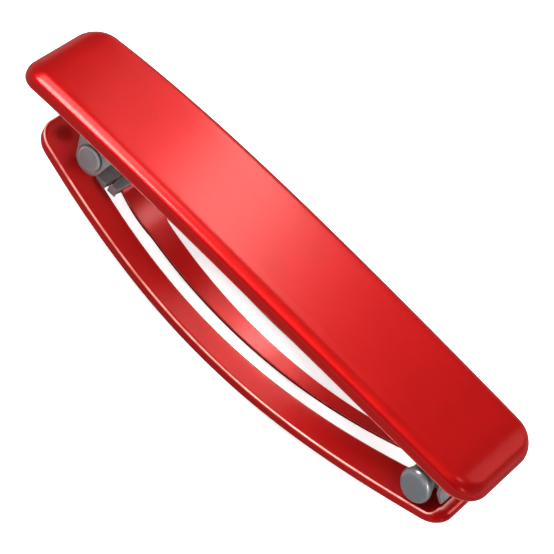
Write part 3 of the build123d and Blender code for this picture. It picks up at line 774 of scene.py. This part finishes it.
buttons = []
for name, sign, body, node in (
    ("squeeze_button_front", -1, "front_button", "front_button_cap"),
    ("squeeze_button_rear", 1, "rear_button", "rear_button_cap"),
):
    buttons.append(place(make_button(name, sign), body, "button_steel", node))


def make_catch():
    """End tongue that flares over the frame's nose, the web under the cover, and the two cheeks."""
    root_z = bracket_top(TONGUE_X) - CATCH_SHEET + 0.2
    tip_z = frame_top(TONGUE_TIP_X) + TONGUE_GAP
    outer_x = TONGUE_X + TONGUE_SHEET
    inside = ((TONGUE_X, root_z), (TONGUE_X, 11.2), (TONGUE_X + 0.1, tip_z + 0.75), (TONGUE_TIP_X, tip_z))
    outside = (
        (TONGUE_TIP_X + 0.15, tip_z + 0.5), (outer_x + 0.35, tip_z + 1.1), (outer_x, 11.4), (outer_x, root_z)
    )
    start_x = box_mm("catch_bracket")[0].x
    web_top = [(x, bracket_top(x)) for x in (start_x, (start_x + outer_x) / 2, outer_x)]
    web = [(x, z - CATCH_SHEET) for x, z in web_top] + web_top[::-1]
    cheek = [
        (CHEEK_BOTTOM_START, CHEEK_BOTTOM), (CHEEK_END, CHEEK_BOTTOM),
        (CHEEK_END, root_z), (CHEEK_TOP_START, root_z),
    ]
    parts = []
    # The tongue is marked most and the cheeks a little: lighter steel that paints highlights on them, on top
    # of rubbing.
    for profile, y_from, y_to, rub_and_highlight in (
        (bezier(inside, 14) + bezier(outside, 14), -TONGUE_HALF_WIDTH, TONGUE_HALF_WIDTH, 0.8),
        (web, -CHEEK_OUTER, CHEEK_OUTER, 0.0),
        (cheek, -CHEEK_OUTER, -CHEEK_INNER, 0.2),
        (cheek, CHEEK_INNER, CHEEK_OUTER, 0.2),
    ):
        verts, faces = slab(profile, y_from, y_to)
        parts.append((verts, faces, [rub_and_highlight] * len(verts)))
    verts, faces, wear_and_highlight = joined(parts)
    return bevelled(new_object("catch_tongue", verts, faces, nickel, wear_and_highlight), 0.09)


place(make_catch(), "cover", "grey_steel", "catch_bracket")


# ---------------------------------------------------------------- return spring of the buttons
def make_coil():
    low, high = box_mm("button_spring")
    middle = (low + high) / 2
    steps, sides = COIL_TURNS * 24, 8
    verts = []
    for i in range(steps + 1):
        angle = 2 * math.pi * COIL_TURNS * i / steps
        outward = Vector((math.cos(angle), 0, math.sin(angle)))
        along = Vector((0, mix(-COIL_HALF_LENGTH, COIL_HALF_LENGTH, i / steps), 0))
        centre = middle + outward * COIL_RADIUS + along
        for j in range(sides):
            around = 2 * math.pi * j / sides
            direction = outward * math.cos(around) + Vector((0, math.sin(around), 0))
            verts.append(centre + COIL_WIRE_RADIUS * direction)
    shape = (steps + 1, sides)
    return new_object("return_coil", verts, bridge(*shape) + end_caps(*shape), wire)


place(make_coil(), "cover", "spring_wire", "button_spring")


# ---------------------------------------------------------------- finish of the CAD pieces that are shown
for node, material in {
    "base_bar": zinc,
    "base_bar_studs": zinc,
    "hinge_bracket_rivets": zinc,
    "catch_bracket_rivets": zinc,
    "knuckle_rivets": zinc,
    "clamp_rivets": zinc,
    "hinge_knuckle": nickel,
    "front_latch": nickel,
    "rear_latch": nickel,
}.items():
    shown = frame["nodes"][node]
    shown.data.materials.clear()
    shown.data.materials.append(material)


# ---------------------------------------------------------------- camera
CAMERA_AZIMUTH, CAMERA_ELEVATION, CAMERA_ROLL = (math.radians(v) for v in (14.128, 45.062, 33.977))
CAMERA_DISTANCE = 0.329479
CAMERA_AIM = Vector((0, 0, 0.0165))

camera_data = bpy.data.cameras.new("camera")
camera = bpy.data.objects.new("camera", camera_data)
bpy.context.scene.collection.objects.link(camera)
flat = math.cos(CAMERA_ELEVATION)
back = Vector((math.sin(CAMERA_AZIMUTH) * flat, -math.cos(CAMERA_AZIMUTH) * flat, math.sin(CAMERA_ELEVATION)))
right = Vector((math.cos(CAMERA_AZIMUTH), math.sin(CAMERA_AZIMUTH), 0))
up = back.cross(right)
rolled_right = math.cos(CAMERA_ROLL) * right + math.sin(CAMERA_ROLL) * up
rolled_up = math.cos(CAMERA_ROLL) * up - math.sin(CAMERA_ROLL) * right
pose = Matrix((rolled_right, rolled_up, back)).transposed().to_4x4()
pose.translation = CAMERA_AIM + back * CAMERA_DISTANCE
camera.matrix_world = pose
camera_data.lens = 169.5
camera_data.sensor_width = 36.0
camera_data.shift_x, camera_data.shift_y = -0.01147, -0.0533
camera_data.clip_start, camera_data.clip_end = 0.01, 10.0
bpy.context.scene.camera = camera


# ---------------------------------------------------------------- floor and light
FLOOR_Z = -0.00005  # in metres, just under the tension spring's lowest point
FLOOR_HALF = 2.0
LIGHT_COLOR = (1.0, 0.98, 0.93)
TENT = (1.25, 1.25, 1.25)
REFLECTED_SKY = [(0.0, 0.7), (0.25, 0.3), (0.6, 0.07), (0.8, 0.05), (0.92, 0.1), (1.0, 0.1)]


def make_floor():
    """Pale floor that glows a little for camera rays and is dark in mirror-like reflections."""
    corners = [(x * FLOOR_HALF, y * FLOOR_HALF, FLOOR_Z) for x, y in ((-1, -1), (1, -1), (1, 1), (-1, 1))]
    mesh = bpy.data.meshes.new("floor")
    mesh.from_pydata(corners, [], [(0, 1, 2, 3)])
    material, tree, shader = new_material("floor_white")
    tint = ramp(tree, noise(tree, 3.0), [(0.3, (0.9, 0.9, 0.9)), (0.7, (0.93, 0.93, 0.93))])
    path = tree.nodes.new("ShaderNodeLightPath")
    tint = blend_colors(tree, path.outputs["Is Glossy Ray"], tint, (0.13, 0.13, 0.13))
    tree.links.new(tint, shader.inputs["Base Color"])
    tree.links.new(path.outputs["Is Camera Ray"], shader.inputs["Emission Strength"])
    shader.inputs["Emission Color"].default_value = (0.65, 0.65, 0.65, 1.0)
    shader.inputs["Roughness"].default_value = 0.9
    mesh.materials.append(material)
    floor = bpy.data.objects.new("floor", mesh)
    bpy.context.scene.collection.objects.link(floor)


def make_world():
    """Even bright tent for camera and diffuse rays; other rays see it darken overhead."""
    world = bpy.data.worlds.new("studio")
    bpy.context.scene.world = world
    world.use_nodes = True
    tree = world.node_tree
    background = tree.nodes["Background"]
    coords = tree.nodes.new("ShaderNodeTexCoord")
    split = tree.nodes.new("ShaderNodeSeparateXYZ")
    tree.links.new(coords.outputs["Generated"], split.inputs["Vector"])
    sky = ramp(tree, split.outputs["Z"], REFLECTED_SKY)
    path = tree.nodes.new("ShaderNodeLightPath")
    soft = tree.nodes.new("ShaderNodeMath")
    soft.operation = "MAXIMUM"
    tree.links.new(path.outputs["Is Diffuse Ray"], soft.inputs[0])
    tree.links.new(path.outputs["Is Camera Ray"], soft.inputs[1])
    color = blend_colors(tree, soft.outputs["Value"], sky, TENT)
    tree.links.new(color, background.inputs["Color"])
    background.inputs["Strength"].default_value = 1.0


def make_light(name, direction, distance, size, radiance):
    """Rectangular soft box that faces the barrette; radiance is what the barrette sees of it."""
    data = bpy.data.lights.new(name, "AREA")
    data.shape = "RECTANGLE"
    data.size, data.size_y = size
    data.energy = radiance * size[0] * size[1] * math.pi
    data.color = LIGHT_COLOR
    light = bpy.data.objects.new(name, data)
    aim = Vector(direction).normalized()
    light.rotation_mode = "QUATERNION"
    light.rotation_quaternion = aim.to_track_quat("Z", "Y")
    light.location = CAMERA_AIM + aim * distance
    bpy.context.scene.collection.objects.link(light)
    return light


def gathered(name, pieces):
    collection = bpy.data.collections.new(name)
    for piece in pieces:
        collection.objects.link(piece)
    return collection


make_floor()
make_world()
for light_values in (
    ("back_strip", (-0.217, 0.682, 0.702), 1.2, (0.1, 0.36), 6.2),
    ("back_box", (-0.26, 0.682, 0.702), 1.25, (0.33, 0.8), 0.85),
    ("left_box", (-0.45, -0.3, 0.84), 1.1, (0.4, 0.4), 20.0),
    ("left_fill", (-0.42, 0.12, 0.9), 1.1, (0.5, 0.34), 4.5),
    ("end_box", (0.36, 0.68, 0.64), 1.2, (0.4, 0.4), 0.8),
    ("corner_box", (0.3, 0.24, 0.92), 1.2, (0.24, 0.24), 2.0),
    ("right_box", (0.72, -0.2, 0.6), 1.2, (0.22, 0.3), 2.5),
):
    make_light(*light_values)

# These two reach the frame as if the cover, the bar and the hinge did not stand in their way.
cad_nodes = frame["nodes"]
lit = gathered("frame_fill_lit", (frame_plate, tension_leaf))
passing = gathered(
    "frame_fill_passing",
    (cover_shell, hinge_lugs, hinge_pin_heads, cad_nodes["base_bar"], cad_nodes["hinge_knuckle"]),
)
for entry in passing.collection_objects:
    entry.light_linking.link_state = "EXCLUDE"
for light_values in (
    ("frame_fill_middle", (-0.19, 0.69, 0.68), 1.2, (0.4, 0.34), 2.0),
    ("frame_fill_end", (0.39, 0.66, 0.64), 1.2, (0.16, 0.34), 3.5),
):
    fill = make_light(*light_values)
    fill.light_linking.receiver_collection = lit
    fill.light_linking.blocker_collection = passing

glint = make_light("button_glint", (0.9, -0.3, 0.3), 1.2, (0.3, 0.4), 9.0)
glint.light_linking.receiver_collection = gathered("button_glint_lit", buttons)
bpy.context.scene.view_settings.view_transform = "Standard"
